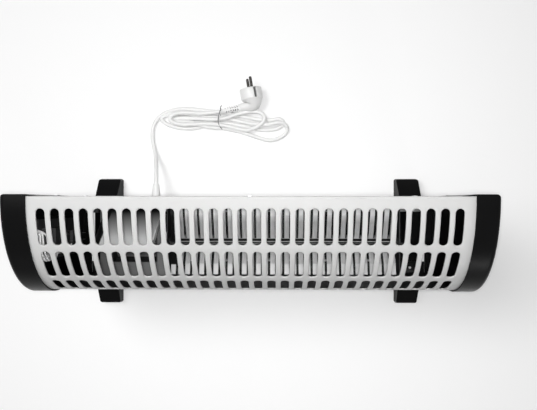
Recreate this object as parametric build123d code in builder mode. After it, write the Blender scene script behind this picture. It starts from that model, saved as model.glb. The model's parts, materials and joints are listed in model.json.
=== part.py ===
from build123d import *
import math
import os

os.makedirs("parts", exist_ok=True)

# Whole heater: X runs along it, Y runs back, Z up, the floor is Z = 0
half_width = 303.0
height = 400.0
foot_lift = 36.0
foot_length = 218.5

# Housing section in side view
back_y = 73.0
panel_radius = 126.5
sheet = 1.0
cap_wall = 2.0
cap_gap = 0.3
arc_z = height - cap_wall - cap_gap - panel_radius
front_y = back_y - panel_radius
panel_back = back_y - sheet
bottom_flange = 20.0
rear_flange = 12.0

# The caps stand out past the casing's ends and grip it
cap_reach = 18.0
casing_half = half_width - cap_reach
rim_start = casing_half - 17
lip_start = rim_start - 10

# The casing's curve is bent in narrow flats
casing_flats = 14

# Outlet slots of the curved grille
slot_pitch = 17.5
slot_count = int((2 * casing_half - 40) / slot_pitch)
slot_width = 10.8
slot_chord = 48.1
slot_corner = 3.2
slot_rows = [39.4, 96.8, 154.6]

# Screws that hold the feet and the back
screw_hole = 4.2
shank_dia = 4.0
screw_head = 7.2
head_rise = 0.5
foot_screw_x = casing_half - 25
foot_screw_y = [front_y + 10, panel_back - 10]
top_places = [(x, height - 10) for x in (-200.0, 0.0, 200.0)]
side_screw_x = rim_start - 5
side_screw_z = [100.0, height - 100]
side_places = [(x, z) for x in (-side_screw_x, side_screw_x) for z in side_screw_z]

# Cord and its entry
cord_dia = 7.2
entry_x = -173.0
entry_z = 48.0
entry_hole = 7.0
floor_z = cord_dia / 2 + 0.1

# Sides of the many sided sections that stand for small round ones
few_sides = 6
more_sides = 12
drum_sides = 24


def save(part, label):
    part.label = label
    export_step(part, f"parts/{label}.step")
    print(label, "volume", round(part.volume), "solids", len(part.solids()))


def screw_clearance(*places):
    # Six sided holes that clear a screw's shank
    with Locations(*places):
        RegularPolygon(screw_hole / 2, few_sides, major_radius=False)


def slot_outline():
    # An upright slot whose ends are cut back at the corners
    side = slot_width / 2
    end = slot_chord / 2
    half = [(side, slot_corner - end), (side, end - slot_corner), (side - slot_corner, end), (slot_corner - side, end)]
    Polygon(*half, *[(-x, -y) for x, y in half], align=None)


def side_outline(plane, grow, low, smooth=False):
    # The housing's side view, grown by a wall or a gap, closed at height low
    radius = panel_radius + grow
    start = math.degrees(math.acos(grow / radius))
    with BuildSketch(plane) as outline:
        with BuildLine():
            if smooth:
                arc = CenterArc((back_y, arc_z), radius, start, 180 - start)
                Polyline(arc @ 1, (back_y - radius, low), (back_y + grow, low), arc @ 0)
            else:
                turns = [90 + 90 * k / casing_flats for k in range(casing_flats + 1)]
                turns = [start] + [turn for turn in turns if turn > start]
                curve = [(back_y + radius * math.cos(math.radians(turn)), arc_z + radius * math.sin(math.radians(turn)))
                         for turn in turns]
                Polyline(*curve, (back_y - radius, low), (back_y + grow, low), close=True)
        make_face()
    return outline.sketch


# Front casing: one curved sheet with three rows of round ended slots
with BuildPart() as front_casing:
    with BuildSketch(Plane.YZ) as casing_section:
        with Locations((back_y, arc_z)):
            RegularPolygon(panel_radius, 4 * casing_flats)
            RegularPolygon(panel_radius - sheet, 4 * casing_flats, mode=Mode.SUBTRACT)
            Rectangle(panel_radius, panel_radius, align=(Align.MAX, Align.MIN), mode=Mode.INTERSECT)
        with Locations((front_y, foot_lift)):
            Rectangle(sheet, arc_z - foot_lift, align=(Align.MIN, Align.MIN))
            Rectangle(bottom_flange, sheet, align=(Align.MIN, Align.MIN))
        with Locations((back_y, arc_z + panel_radius - sheet / 2)):
            Rectangle(sheet, rear_flange, align=(Align.MAX, Align.MAX))
        chamfer(casing_section.vertices().sort_by_distance((front_y, foot_lift))[0], 0.8)
    extrude(amount=casing_half, both=True)
    for along in slot_rows:
        turn = along / panel_radius
        crown = (0, back_y - panel_radius * math.sin(turn), arc_z + panel_radius * math.cos(turn))
        with BuildSketch(Plane(crown, x_dir=(1, 0, 0), z_dir=(0, -math.sin(turn), math.cos(turn)))):
            with GridLocations(slot_pitch, 0, slot_count, 1):
                slot_outline()
        extrude(amount=4, both=True, mode=Mode.SUBTRACT)
    with BuildSketch(Plane.XY.offset(foot_lift)):
        screw_clearance((-foot_screw_x, foot_screw_y[0]), (foot_screw_x, foot_screw_y[0]))
    extrude(amount=sheet, mode=Mode.SUBTRACT)
    with BuildSketch(Plane.XZ.offset(-panel_back)):
        screw_clearance(*top_places)
    extrude(amount=-sheet, mode=Mode.SUBTRACT)
save(front_casing.part, "front_casing")

# Back panel: flat sheet with a foot flange, low inlet slots and the cord hole
back_top = arc_z + panel_radius - sheet - 0.8
inlet_half = casing_half - 45
inlet_pitch = 34.0
with BuildPart() as back_panel:
    with BuildSketch(Plane.YZ):
        with Locations((panel_back, foot_lift)):
            Rectangle(sheet, back_top - foot_lift, align=(Align.MAX, Align.MIN))
            Rectangle(bottom_flange, sheet, align=(Align.MAX, Align.MIN))
    extrude(amount=casing_half - 1, both=True)
    with BuildSketch(Plane.XZ.offset(-panel_back)):
        with Locations((entry_x, entry_z)):
            RegularPolygon(entry_hole, more_sides)
        with Locations((0, 84)):
            with GridLocations(inlet_pitch, 0, int(2 * inlet_half / inlet_pitch), 1):
                Rectangle(26, 5)
        screw_clearance(*top_places, *side_places)
    extrude(amount=sheet, mode=Mode.SUBTRACT)
    with BuildSketch(Plane.XY.offset(foot_lift)):
        screw_clearance((-foot_screw_x, foot_screw_y[1]), (foot_screw_x, foot_screw_y[1]))
    extrude(amount=sheet, mode=Mode.SUBTRACT)
save(back_panel.part, "back_panel")

# Bottom grille: inlet plate lying on the two foot flanges
with BuildPart() as bottom_grille:
    with BuildSketch(Plane.XY.offset(foot_lift + sheet)):
        with Locations((0, (front_y + panel_back) / 2)):
            Rectangle(2 * inlet_half, panel_back - front_y - 3 * sheet)
        with Locations((0, (front_y + panel_back) / 2)):
            with GridLocations(inlet_pitch, 48, int(2 * inlet_half / inlet_pitch), 2):
                Rectangle(10, 40, mode=Mode.SUBTRACT)
    extrude(amount=sheet)
save(bottom_grille.part, "bottom_grille")

# End caps: moulded rims that grip the casing's ends, with a closed side
shoulder = casing_half + cap_gap
side_wall = 2.5
cap_round = 7.0
with BuildPart() as right_end_cap:
    solid_cap = side_outline(Plane.YZ.offset(rim_start), cap_wall + cap_gap, foot_lift, smooth=True)
    extrude(solid_cap, half_width - rim_start)
    fillet(right_end_cap.faces().sort_by(Axis.X)[-1].edges(), cap_round)
    inside = side_outline(Plane.YZ.offset(rim_start), cap_gap, foot_lift - 1)
    extrude(inside, shoulder - rim_start, mode=Mode.SUBTRACT)
    throat = side_outline(Plane.YZ.offset(shoulder), -5, foot_lift + 7)
    extrude(throat, cap_wall, mode=Mode.SUBTRACT)
    hollow = side_outline(Plane.YZ.offset(shoulder + cap_wall), -1.5, foot_lift + 3)
    extrude(hollow, half_width - side_wall - shoulder - cap_wall, mode=Mode.SUBTRACT)
    with BuildSketch(Plane.XZ.offset(-(back_y + cap_gap))):
        with Locations((lip_start, foot_lift)):
            Rectangle(rim_start - lip_start, height - foot_lift - 3, align=(Align.MIN, Align.MIN))
    extrude(amount=-cap_wall)
    with BuildSketch(Plane.XZ.offset(-(back_y + cap_gap))):
        screw_clearance(*[(side_screw_x, z) for z in side_screw_z])
    extrude(amount=-cap_wall, mode=Mode.SUBTRACT)
save(right_end_cap.part, "right_end_cap")

# The left cap is the right one mirrored, with a pocket for the controls
pocket_y = 15.0
pocket_z = height - 175
pocket_width = 60.0
pocket_height = 190.0
pocket_round = 12.0
pocket_floor = -(casing_half + 1)
floor_wall = 2.5
dial_z = pocket_z + 60
switch_z = {"low_heat": pocket_z, "high_heat": pocket_z - 30, "fan": pocket_z - 60}
switch_length = 18.8
switch_height = 13.8
spindle_dia = 6.0
with BuildPart() as left_end_cap:
    add(mirror(right_end_cap.part, about=Plane.YZ))
    with BuildSketch(Plane.YZ.offset(-half_width)):
        with Locations((pocket_y, pocket_z)):
            RectangleRounded(pocket_width + 4, pocket_height + 4, pocket_round + 2)
    extrude(amount=half_width + pocket_floor + floor_wall)
    with BuildSketch(Plane.YZ.offset(-half_width)):
        with Locations((pocket_y, pocket_z)):
            RectangleRounded(pocket_width, pocket_height, pocket_round)
    extrude(amount=half_width + pocket_floor, mode=Mode.SUBTRACT)
    with BuildSketch(Plane.YZ.offset(pocket_floor)):
        with Locations((pocket_y, dial_z)):
            Circle(spindle_dia / 2 + 0.1)
        with Locations(*[(pocket_y, z) for z in switch_z.values()]):
            Rectangle(switch_length + 0.2, switch_height + 0.2)
    extrude(amount=floor_wall, mode=Mode.SUBTRACT)
save(left_end_cap.part, "left_end_cap")

# Feet: hollow runners with drafted sides, ribs, screw bosses and solid soles at the tips
foot_inner = casing_half - 46
foot_outer = casing_half - 0.5
foot_tip_outer = foot_outer - 4
foot_draft = 6.0
foot_half = foot_length / 2
foot_wall = 2.5
sole_length = 28.0
boss_low = 6.0
tip_high = 17.0
with BuildPart() as right_foot:
    with BuildSketch() as foot_plan:
        with BuildLine():
            Polyline((foot_inner, -foot_half), (foot_tip_outer - 3, -foot_half), (foot_outer, front_y),
                     (foot_outer, panel_back), (foot_tip_outer, foot_half), (foot_inner, foot_half), close=True)
        make_face()
        fillet(foot_plan.vertices().group_by(Axis.Y)[0], 5)
        fillet(foot_plan.vertices().group_by(Axis.Y)[-1], 4)
    extrude(amount=foot_lift, taper=foot_draft)
    with BuildSketch(Plane.YZ.offset(foot_inner)):
        with BuildLine():
            Polyline((-foot_half, 0), (-foot_half, tip_high - 4), (4 - foot_half, tip_high), (front_y - 6, foot_lift),
                     (back_y + 5, foot_lift), (foot_half - 4, tip_high), (foot_half, tip_high - 4), (foot_half, 0),
                     close=True)
        make_face()
    extrude(amount=foot_outer - foot_inner, mode=Mode.INTERSECT)
    with BuildSketch(Plane.YZ.offset(foot_inner + 2.4 * foot_wall)):
        with BuildLine():
            reach = foot_half - sole_length
            Polyline((-reach, 0), (-reach, 13), (front_y, foot_lift - 3), (back_y, foot_lift - 3),
                     (reach, 14), (reach, 0), close=True)
        make_face()
    extrude(amount=foot_outer - foot_inner - 5 * foot_wall, mode=Mode.SUBTRACT)
    with BuildSketch(Plane.XY.offset(boss_low)):
        with Locations(*[((foot_inner + foot_outer) / 2, y) for y in (-24, 10, 44)]):
            Rectangle(foot_outer - foot_inner - 4 * foot_wall, foot_wall)
        with Locations(*[(foot_screw_x, y) for y in foot_screw_y]):
            RegularPolygon(5, few_sides)
    extrude(amount=foot_lift - 2 - boss_low)
    with BuildSketch(Plane.XY.offset(boss_low)):
        screw_clearance(*[(foot_screw_x, y) for y in foot_screw_y])
    extrude(amount=foot_lift - boss_low, mode=Mode.SUBTRACT)
save(right_foot.part, "right_foot")
with BuildPart() as left_foot:
    add(mirror(right_foot.part, about=Plane.YZ))
save(left_foot.part, "left_foot")

# Screws, one group for the feet and one for the back
with BuildPart() as foot_screws:
    for x in (-foot_screw_x, foot_screw_x):
        for y in foot_screw_y:
            with BuildSketch(Plane((x, y, boss_low))):
                RegularPolygon(shank_dia / 2, few_sides)
            extrude(amount=foot_lift + 6 - boss_low)
            with BuildSketch(Plane((x, y, boss_low))):
                RegularPolygon(screw_head / 2, few_sides)
            extrude(amount=-2.0, taper=12)
save(foot_screws.part, "foot_screws")
with BuildPart() as back_screws:
    for places, seat_y in ((top_places, back_y), (side_places, back_y + cap_gap + cap_wall)):
        with BuildSketch(Plane.XZ.offset(-(panel_back - 5))):
            with Locations(*places):
                RegularPolygon(shank_dia / 2, few_sides)
        extrude(amount=-(seat_y - panel_back + 5))
        with BuildSketch(Plane.XZ.offset(-seat_y)):
            with Locations(*places):
                RegularPolygon(screw_head / 2, few_sides)
        extrude(amount=-head_rise)
save(back_screws.part, "back_screws")

# Heating element: two rods in line, clasped by lanced fin combs in an X
rod_y = 2.0
rod_z = 130.0
rod_dia = 9.0
fin_pitch = 11.0
fin_count = 32
fin_width = 7.4
fin_start = -131.2
fin_sheet = 0.6
fin_length = (fin_count - 1) * fin_pitch + fin_width
rod_left = [-140.0, 36.0]
rod_right = [50.0, 226.0]
clasp = rod_dia / 2 + 0.05 + fin_sheet / 2


def fin_comb(side, upper, lower):
    # One comb: a clasp of three flats round half of the rod, with arms that the gaps part into fins
    step = math.radians(100 / 3)
    corner = clasp / math.cos(step / 2)
    turns = [step * (1.5 - k) for k in range(4)]
    hold = [(rod_y + side * corner * math.cos(t), rod_z + corner * math.sin(t)) for t in turns]
    with BuildPart() as comb:
        with BuildSketch(Plane.YZ.offset(fin_start)):
            with BuildLine():
                Polyline(*upper, *hold, lower)
            trace(line_width=fin_sheet)
        extrude(amount=fin_length)
        gap = fin_pitch - fin_width
        middle = fin_start + fin_length / 2
        keep = 8.0
        with BuildSketch(Plane.XY.offset(rod_z)):
            with Locations((middle, rod_y + side * (keep + 35))):
                with GridLocations(fin_pitch, 0, fin_count - 1, 1):
                    Rectangle(gap, 70)
        extrude(amount=40, both=True, mode=Mode.SUBTRACT)
    return comb.part


save(fin_comb(1, [(60, 161), (47.3, 158)], (28, 104)), "rear_fins")
save(fin_comb(-1, [(-44.6, 156), (-28.4, 152)], (-24, 104)), "front_fins")

for rod_name, reach in (("heater_rod_left", rod_left), ("heater_rod_right", rod_right)):
    outward = -1 if reach[0] < 0 else 1
    end_x = reach[0] if outward < 0 else reach[1]
    with BuildPart() as heater_rod:
        with BuildSketch(Plane.YZ.offset(reach[0])):
            with Locations((rod_y, rod_z)):
                Circle(rod_dia / 2)
        extrude(amount=reach[1] - reach[0])
        with BuildSketch(Plane.YZ.offset(end_x)):
            with Locations((rod_y, rod_z)):
                RegularPolygon(1.5, few_sides)
        extrude(amount=outward * 9)
    save(heater_rod.part, rod_name)

with BuildPart() as rod_spacer:
    with BuildSketch(Plane.YZ.offset(rod_left[1])):
        with Locations((rod_y, rod_z)):
            Circle(rod_dia / 2)
    extrude(amount=rod_right[0] - rod_left[1])
save(rod_spacer.part, "rod_spacer")

# Ceramic bushes at both rod ends, seated in sheet brackets
bracket_x = [-138.6, 223.6]
bracket_low = 70.0
bracket_high = 148.0
bush_dia = 14.0
with BuildPart() as rod_bushes:
    for plate_x, outward in ((bracket_x[0], -1), (bracket_x[1] + sheet, 1)):
        with BuildSketch(Plane.YZ.offset(plate_x + outward * 3.4)):
            with Locations((rod_y, rod_z)):
                RegularPolygon(bush_dia / 2, more_sides)
                RegularPolygon(1.7, few_sides, mode=Mode.SUBTRACT)
        extrude(amount=-outward * (3.4 + sheet))
        with BuildSketch(Plane.YZ.offset(plate_x - outward * sheet)):
            with Locations((rod_y, rod_z)):
                RegularPolygon(bush_dia / 2 + 2, more_sides)
                RegularPolygon(1.7, few_sides, mode=Mode.SUBTRACT)
        extrude(amount=-outward * 2.8)
        rod_end = rod_left[0] if outward < 0 else rod_right[1]
        with BuildSketch(Plane.YZ.offset(rod_end)):
            with Locations((rod_y, rod_z)):
                RegularPolygon(rod_dia / 2 + 0.03, more_sides, major_radius=False)
        extrude(amount=-outward * 9, mode=Mode.SUBTRACT)
save(rod_bushes.part, "rod_bushes")

for bracket_name, plate_x, inward in (("left_bracket", bracket_x[0], 1), ("right_bracket", bracket_x[1], -1)):
    base_x = plate_x if inward > 0 else plate_x + sheet
    with BuildPart() as bracket:
        with BuildSketch(Plane.XY.offset(bracket_low)):
            with BuildLine():
                Polyline((base_x, front_y + sheet), (base_x + inward * 12, front_y + sheet),
                         (base_x + inward * 12, front_y + 2 * sheet), (base_x + inward * sheet, front_y + 2 * sheet),
                         (base_x + inward * sheet, panel_back - 2 * sheet), (base_x + inward * 12, panel_back - 2 * sheet),
                         (base_x + inward * 12, panel_back - sheet), (base_x, panel_back - sheet), close=True)
            make_face()
        extrude(amount=bracket_high - bracket_low)
        with BuildSketch(Plane.YZ.offset(plate_x)):
            with Locations((rod_y, rod_z)):
                RegularPolygon(bush_dia / 2 + 0.05, more_sides)
        extrude(amount=sheet, mode=Mode.SUBTRACT)
    save(bracket.part, bracket_name)

# Overheat cut-out on the left bracket
cutout_y = 40.0
cutout_z = 122.0
with BuildPart() as overheat_cutout:
    with BuildSketch(Plane.YZ.offset(bracket_x[0])):
        with Locations((cutout_y, cutout_z)):
            RegularPolygon(8, more_sides)
    extrude(amount=-8)
    with BuildSketch(Plane.YZ.offset(bracket_x[0])):
        with Locations((cutout_y, cutout_z)):
            Rectangle(24, 9)
    extrude(amount=-0.8)
    with BuildSketch(Plane.YZ.offset(bracket_x[0] - 8)):
        with Locations((cutout_y - 4, cutout_z), (cutout_y + 4, cutout_z)):
            Rectangle(0.8, 6)
    extrude(amount=-7)
save(overheat_cutout.part, "overheat_cutout")

# Air guide: a tray that leans forward over the blower and shields the left compartment
guide_left = -218.6
guide_right = -136.0
guide_low = (panel_back - sheet, 170.0)
guide_top = (3.0, 286.0)
guide_sheet = 0.8
with BuildPart() as air_guide:
    with BuildSketch(Plane.YZ.offset(guide_left)):
        with BuildLine():
            lean = guide_sheet / math.sin(math.radians(60))
            Polyline(guide_low, guide_top, (guide_top[0] - lean, guide_top[1]),
                     (guide_low[0] - guide_sheet, guide_low[1] - 0.4), (guide_low[0] - guide_sheet, 150),
                     (guide_low[0], 150), close=True)
        make_face()
    extrude(amount=guide_right - guide_left)
    for edge_x in (guide_left, guide_right - guide_sheet):
        with BuildSketch(Plane.YZ.offset(edge_x)):
            with BuildLine():
                Polyline((guide_low[0], guide_low[1] + 4), (guide_low[0], guide_low[1] + 14),
                         (guide_top[0] + 7, guide_top[1] + 4), guide_top, (guide_top[0] - 0.2, guide_top[1] - 0.6),
                         (guide_low[0] - 0.7, guide_low[1] + 0.5), close=True)
            make_face()
        extrude(amount=guide_sheet)
save(air_guide.part, "air_guide")

# Blower shelf with the outlet opening
shelf_z = 139.0
outlet_x = [-227.0, -155.0]
outlet_y = [-27.0, 11.0]
with BuildPart() as blower_shelf:
    with BuildSketch(Plane.XY.offset(shelf_z)):
        with Locations((-245, front_y + sheet)):
            Rectangle(103, panel_back - front_y - 2 * sheet, align=(Align.MIN, Align.MIN))
        with Locations((outlet_x[0], outlet_y[0])):
            Rectangle(outlet_x[1] - outlet_x[0], outlet_y[1] - outlet_y[0], align=(Align.MIN, Align.MIN), mode=Mode.SUBTRACT)
    extrude(amount=sheet)
    with BuildSketch(Plane.XY.offset(shelf_z)):
        with Locations((-245, front_y + sheet), (-245, panel_back - 2 * sheet)):
            Rectangle(103, sheet, align=(Align.MIN, Align.MIN))
    extrude(amount=-14)
save(blower_shelf.part, "blower_shelf")

# Blower housing: scroll and tongue between two cheeks, hung under the shelf
shaft_y = -2.0
shaft_z = 98.0
shaft_dia = 4.0
drum_dia = 44.0
drum_x = [-224.0, -158.0]
cheek_x = [-226.0, -157.0]
scroll_radius = drum_dia / 2 + 4
with BuildPart() as blower_housing:
    with BuildSketch(Plane.YZ.offset(cheek_x[0])):
        with BuildLine():
            scroll = CenterArc((shaft_y, shaft_z), scroll_radius, -85, 115)
            Line(scroll @ 1, (outlet_y[1] + 0.5, shelf_z))
            Line(scroll @ 0, (-12, 66))
        trace(line_width=sheet)
    extrude(amount=cheek_x[1] + sheet - cheek_x[0])
    with BuildSketch(Plane.YZ.offset(cheek_x[0])):
        with BuildLine():
            Polyline((outlet_y[0] - 0.5, shelf_z), (outlet_y[0] - 0.5, 118), (-20.6, 112.6))
        trace(line_width=sheet)
    extrude(amount=cheek_x[1] + sheet - cheek_x[0])
    for edge_x in cheek_x:
        with BuildSketch(Plane.YZ.offset(edge_x)):
            with BuildLine():
                Polyline((-30, shelf_z), (-30, 80), (-16, 64), (8, 66), (26, 80), (29, 112), (14, shelf_z), close=True)
            make_face()
            with Locations((shaft_y, shaft_z)):
                RegularPolygon(shaft_dia / 2 + 0.8, few_sides, mode=Mode.SUBTRACT)
        extrude(amount=sheet)
    with BuildSketch(Plane.XY.offset(shelf_z)):
        with Locations(((cheek_x[0] + cheek_x[1] + sheet) / 2, 0)):
            Rectangle(120, 120)
    extrude(amount=5, mode=Mode.SUBTRACT)
save(blower_housing.part, "blower_housing")

# Blower wheel: curved blades between three discs
blade_count = 18
blade_root = drum_dia / 2 - 7
with BuildPart() as blower_wheel:
    with BuildSketch(Plane.YZ.offset(drum_x[0])):
        with Locations((shaft_y, shaft_z)):
            with PolarLocations(0, blade_count):
                Polygon((blade_root, 1.6), (blade_root + 3, 0), (drum_dia / 2 - 0.6, -0.6), (drum_dia / 2 - 0.6, -1.3),
                        (blade_root + 3, -0.7), (blade_root, 0.9), align=None)
    extrude(amount=drum_x[1] - drum_x[0])
    for disc_x in (drum_x[0], (drum_x[0] + drum_x[1]) / 2, drum_x[1] - sheet):
        with BuildSketch(Plane.YZ.offset(disc_x)):
            with Locations((shaft_y, shaft_z)):
                RegularPolygon(drum_dia / 2, drum_sides)
                RegularPolygon(shaft_dia / 2 + 0.03, few_sides, mode=Mode.SUBTRACT)
        extrude(amount=sheet)
save(blower_wheel.part, "blower_wheel")

# Shaded pole motor beside the wheel
core_x = [-152.0, -144.0]
rotor_dia = 22.0
core_top = 116.0
limb_low = 65.0
limb_high = 72.0
with BuildPart() as motor_core:
    with BuildSketch(Plane.YZ.offset(core_x[0])):
        with Locations((shaft_y, limb_low)):
            Rectangle(40, core_top - limb_low, align=(Align.CENTER, Align.MIN))
        with Locations((shaft_y, limb_high)):
            Rectangle(24, 9, align=(Align.CENTER, Align.MIN), mode=Mode.SUBTRACT)
        with Locations((shaft_y, shaft_z)):
            RegularPolygon(rotor_dia / 2 + 0.4, drum_sides, major_radius=False, mode=Mode.SUBTRACT)
    extrude(amount=core_x[1] - core_x[0])
save(motor_core.part, "motor_core")
with BuildPart() as motor_coil:
    with BuildSketch(Plane.XZ.offset(-(shaft_y - 10))):
        with Locations(((core_x[0] + core_x[1]) / 2, (limb_low + limb_high) / 2)):
            Rectangle(15, 17)
            Rectangle(core_x[1] - core_x[0] + 0.2, limb_high - limb_low + 0.2, mode=Mode.SUBTRACT)
    extrude(amount=-20)
save(motor_coil.part, "motor_coil")
with BuildPart() as motor_brackets:
    for face_x, outward in ((core_x[0], -1), (core_x[1], 1)):
        with BuildSketch(Plane.YZ.offset(face_x + outward * 2.5)):
            with Locations((shaft_y, shaft_z)):
                Rectangle(9, 34)
                RegularPolygon(shaft_dia / 2 + 0.04, few_sides, major_radius=False, mode=Mode.SUBTRACT)
        extrude(amount=outward * 1.0)
        with BuildSketch(Plane.YZ.offset(face_x)):
            with Locations((shaft_y, shaft_z - 15), (shaft_y, shaft_z + 15)):
                Rectangle(8, 3)
        extrude(amount=outward * 2.5)
    with BuildSketch(Plane.YZ.offset(core_x[0])):
        with Locations((shaft_y - 16, core_top - 4), (shaft_y + 16, core_top - 4)):
            RegularPolygon(2.5, few_sides)
    extrude(amount=-(core_x[0] - cheek_x[1] - sheet))
save(motor_brackets.part, "motor_brackets")
with BuildPart() as motor_rotor:
    with BuildSketch(Plane.YZ.offset(core_x[0])):
        with Locations((shaft_y, shaft_z)):
            RegularPolygon(rotor_dia / 2, drum_sides)
    extrude(amount=core_x[1] - core_x[0])
    with BuildSketch(Plane.YZ.offset(cheek_x[0] - 3)):
        with Locations((shaft_y, shaft_z)):
            RegularPolygon(shaft_dia / 2, few_sides)
    extrude(amount=core_x[1] + 4.4 - cheek_x[0] + 3)
save(motor_rotor.part, "motor_rotor")

# Controls in the left cap's pocket
plate_sheet = 1.2
plate_x = pocket_floor + floor_wall
plate_inner = plate_x + plate_sheet
with BuildPart() as control_plate:
    with BuildSketch(Plane.YZ.offset(plate_x)):
        with Locations((pocket_y, pocket_z)):
            Rectangle(pocket_width - 4, pocket_height - 4)
        with Locations((pocket_y, dial_z)):
            Circle(spindle_dia / 2 + 0.1, mode=Mode.SUBTRACT)
        with Locations(*[(pocket_y, z) for z in switch_z.values()]):
            Rectangle(switch_length + 0.2, switch_height + 0.2, mode=Mode.SUBTRACT)
    extrude(amount=plate_sheet)
save(control_plate.part, "control_plate")
with BuildPart() as thermostat_body:
    with BuildSketch(Plane.YZ.offset(plate_inner)):
        with Locations((pocket_y, dial_z)):
            Rectangle(32, 32)
    extrude(amount=18)
    with BuildSketch(Plane.YZ.offset(plate_inner + 18)):
        with Locations((pocket_y - 9, dial_z - 10), (pocket_y + 9, dial_z - 10)):
            Rectangle(6, 0.8)
    extrude(amount=8)
save(thermostat_body.part, "thermostat_body")
knob_dia = 42.0
knob_depth = 11.0
knob_x = pocket_floor - 0.5
with BuildPart() as thermostat_spindle:
    with BuildSketch(Plane.YZ.offset(plate_inner)):
        with Locations((pocket_y, dial_z)):
            RegularPolygon(spindle_dia / 2, more_sides)
    extrude(amount=-(plate_inner - knob_x + 7))
save(thermostat_spindle.part, "thermostat_spindle")
groove_dia = 3.4
knob_grooves = 12
with BuildPart() as thermostat_knob:
    with BuildSketch(Plane.YZ.offset(knob_x)):
        with Locations((pocket_y, dial_z)):
            RegularPolygon(knob_dia / 2, drum_sides)
    extrude(amount=-3)
    with BuildSketch(Plane.YZ.offset(knob_x - 3)):
        with Locations((pocket_y, dial_z)):
            RegularPolygon(knob_dia / 2 - 3, drum_sides)
    extrude(amount=-(knob_depth - 3), taper=5)
    with BuildSketch(Plane.YZ.offset(knob_x - 3)):
        with Locations((pocket_y, dial_z)):
            with PolarLocations(knob_dia / 2 - 3, knob_grooves):
                RegularPolygon(groove_dia / 2, few_sides)
    extrude(amount=-knob_depth, mode=Mode.SUBTRACT)
    with BuildSketch(Plane.YZ.offset(knob_x)):
        with Locations((pocket_y, dial_z)):
            RegularPolygon(spindle_dia / 2 + 0.02, more_sides)
    extrude(amount=-7.2, mode=Mode.SUBTRACT)
save(thermostat_knob.part, "thermostat_knob")

# Rocker switches, modelled tipped to the off side
bezel_depth = 2.0
pivot_x = pocket_floor + 0.5
pivot_dia = 2.4
rocker_half = 8.0
rocker_height = 10.8
rocker_tip = 8.0
for switch_name, z in switch_z.items():
    with BuildPart() as switch_body:
        with BuildSketch(Plane.YZ.offset(pocket_floor - bezel_depth)):
            with Locations((pocket_y, z)):
                Rectangle(21.6, 16)
        extrude(amount=bezel_depth)
        with BuildSketch(Plane.YZ.offset(pocket_floor)):
            with Locations((pocket_y, z)):
                Rectangle(switch_length, switch_height)
        extrude(amount=16)
        with BuildSketch(Plane.YZ.offset(pocket_floor - bezel_depth)):
            with Locations((pocket_y, z)):
                Rectangle(17.2, rocker_height + 0.4)
        extrude(amount=9, mode=Mode.SUBTRACT)
        with BuildSketch(Plane.XY.offset(z)):
            with Locations((pivot_x, pocket_y)):
                RegularPolygon(pivot_dia / 2 + 0.05, few_sides, major_radius=False)
        extrude(amount=rocker_height / 2 + 0.9, both=True, mode=Mode.SUBTRACT)
        with BuildSketch(Plane.YZ.offset(pocket_floor + 16)):
            with Locations((pocket_y - 5, z), (pocket_y + 5, z)):
                Rectangle(0.8, 6)
        extrude(amount=8)
    save(switch_body.part, switch_name + "_switch")
    tilt = math.radians(-rocker_tip)
    outline = [(0, -4), (rocker_half, -1), (rocker_half, 3), (0, 1.8), (-rocker_half, 3), (-rocker_half, -1)]
    turned = [(pivot_x - (v * math.cos(tilt) - u * math.sin(tilt)), pocket_y + u * math.cos(tilt) + v * math.sin(tilt))
              for u, v in outline]
    with BuildPart() as rocker:
        with BuildSketch(Plane.XY.offset(z)):
            with BuildLine():
                Polyline(*turned, close=True)
            make_face()
        extrude(amount=rocker_height / 2, both=True)
        with BuildSketch(Plane.XY.offset(z)):
            with Locations((pivot_x, pocket_y)):
                RegularPolygon(pivot_dia / 2, few_sides)
        extrude(amount=rocker_height / 2 + 0.7, both=True)
    save(rocker.part, switch_name + "_rocker")


def bend_radii(points, share=0.45):
    # The radius at each corner of a route, from the shorter of its two runs
    radii = []
    for before, corner, after in zip(points, points[1:], points[2:]):
        a = Vector(*corner) - Vector(*before)
        b = Vector(*after) - Vector(*corner)
        turn = math.radians(a.get_angle(b))
        radii.append(share * min(a.length, b.length) / math.tan(turn / 2))
    return radii


def tube(points, dia, share=0.45):
    # A tube along straight runs joined by tangent arcs
    radii = bend_radii(points, share)
    with BuildPart() as made:
        with BuildLine() as route:
            FilletPolyline(*points, radius=radii)
        with BuildSketch(Plane(points[0], z_dir=Vector(*points[1]) - Vector(*points[0]))) as section:
            RegularPolygon(dia / 2, few_sides)
        sweep(path=route.wires()[0])
    expected = section.sketch.area * route.wires()[0].length
    print("tube length", round(route.wires()[0].length, 1), "volume over section x length",
          round(made.part.volume / expected, 4), "radii", [round(r, 1) for r in radii])
    return made.part


def wire(points, dia, bend):
    # A thin wire whose corners are cut back by bend and mitred
    route = [points[0]]
    for before, corner, after in zip(points, points[1:], points[2:]):
        middle = Vector(*corner)
        route += [middle + (Vector(*side) - middle).normalized() * bend for side in (before, after)]
    route.append(points[-1])
    with BuildPart() as made:
        with BuildLine() as run:
            Polyline(*route)
        with BuildSketch(Plane(points[0], z_dir=Vector(*points[1]) - Vector(*points[0]))):
            RegularPolygon(dia / 2, few_sides)
        sweep(path=run.wires()[0], transition=Transition.RIGHT)
    return made.part


# Terminal block on the back panel, and the wires to the controls
block_z = [60.0, 80.0]
block_front = panel_back - sheet - 21
with BuildPart() as terminal_block:
    with BuildSketch(Plane.XY.offset(block_z[0])):
        with Locations((1 - casing_half, block_front)):
            Rectangle(20, panel_back - sheet - block_front, align=(Align.MIN, Align.MIN))
    extrude(amount=block_z[1] - block_z[0])
save(terminal_block.part, "terminal_block")

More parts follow.
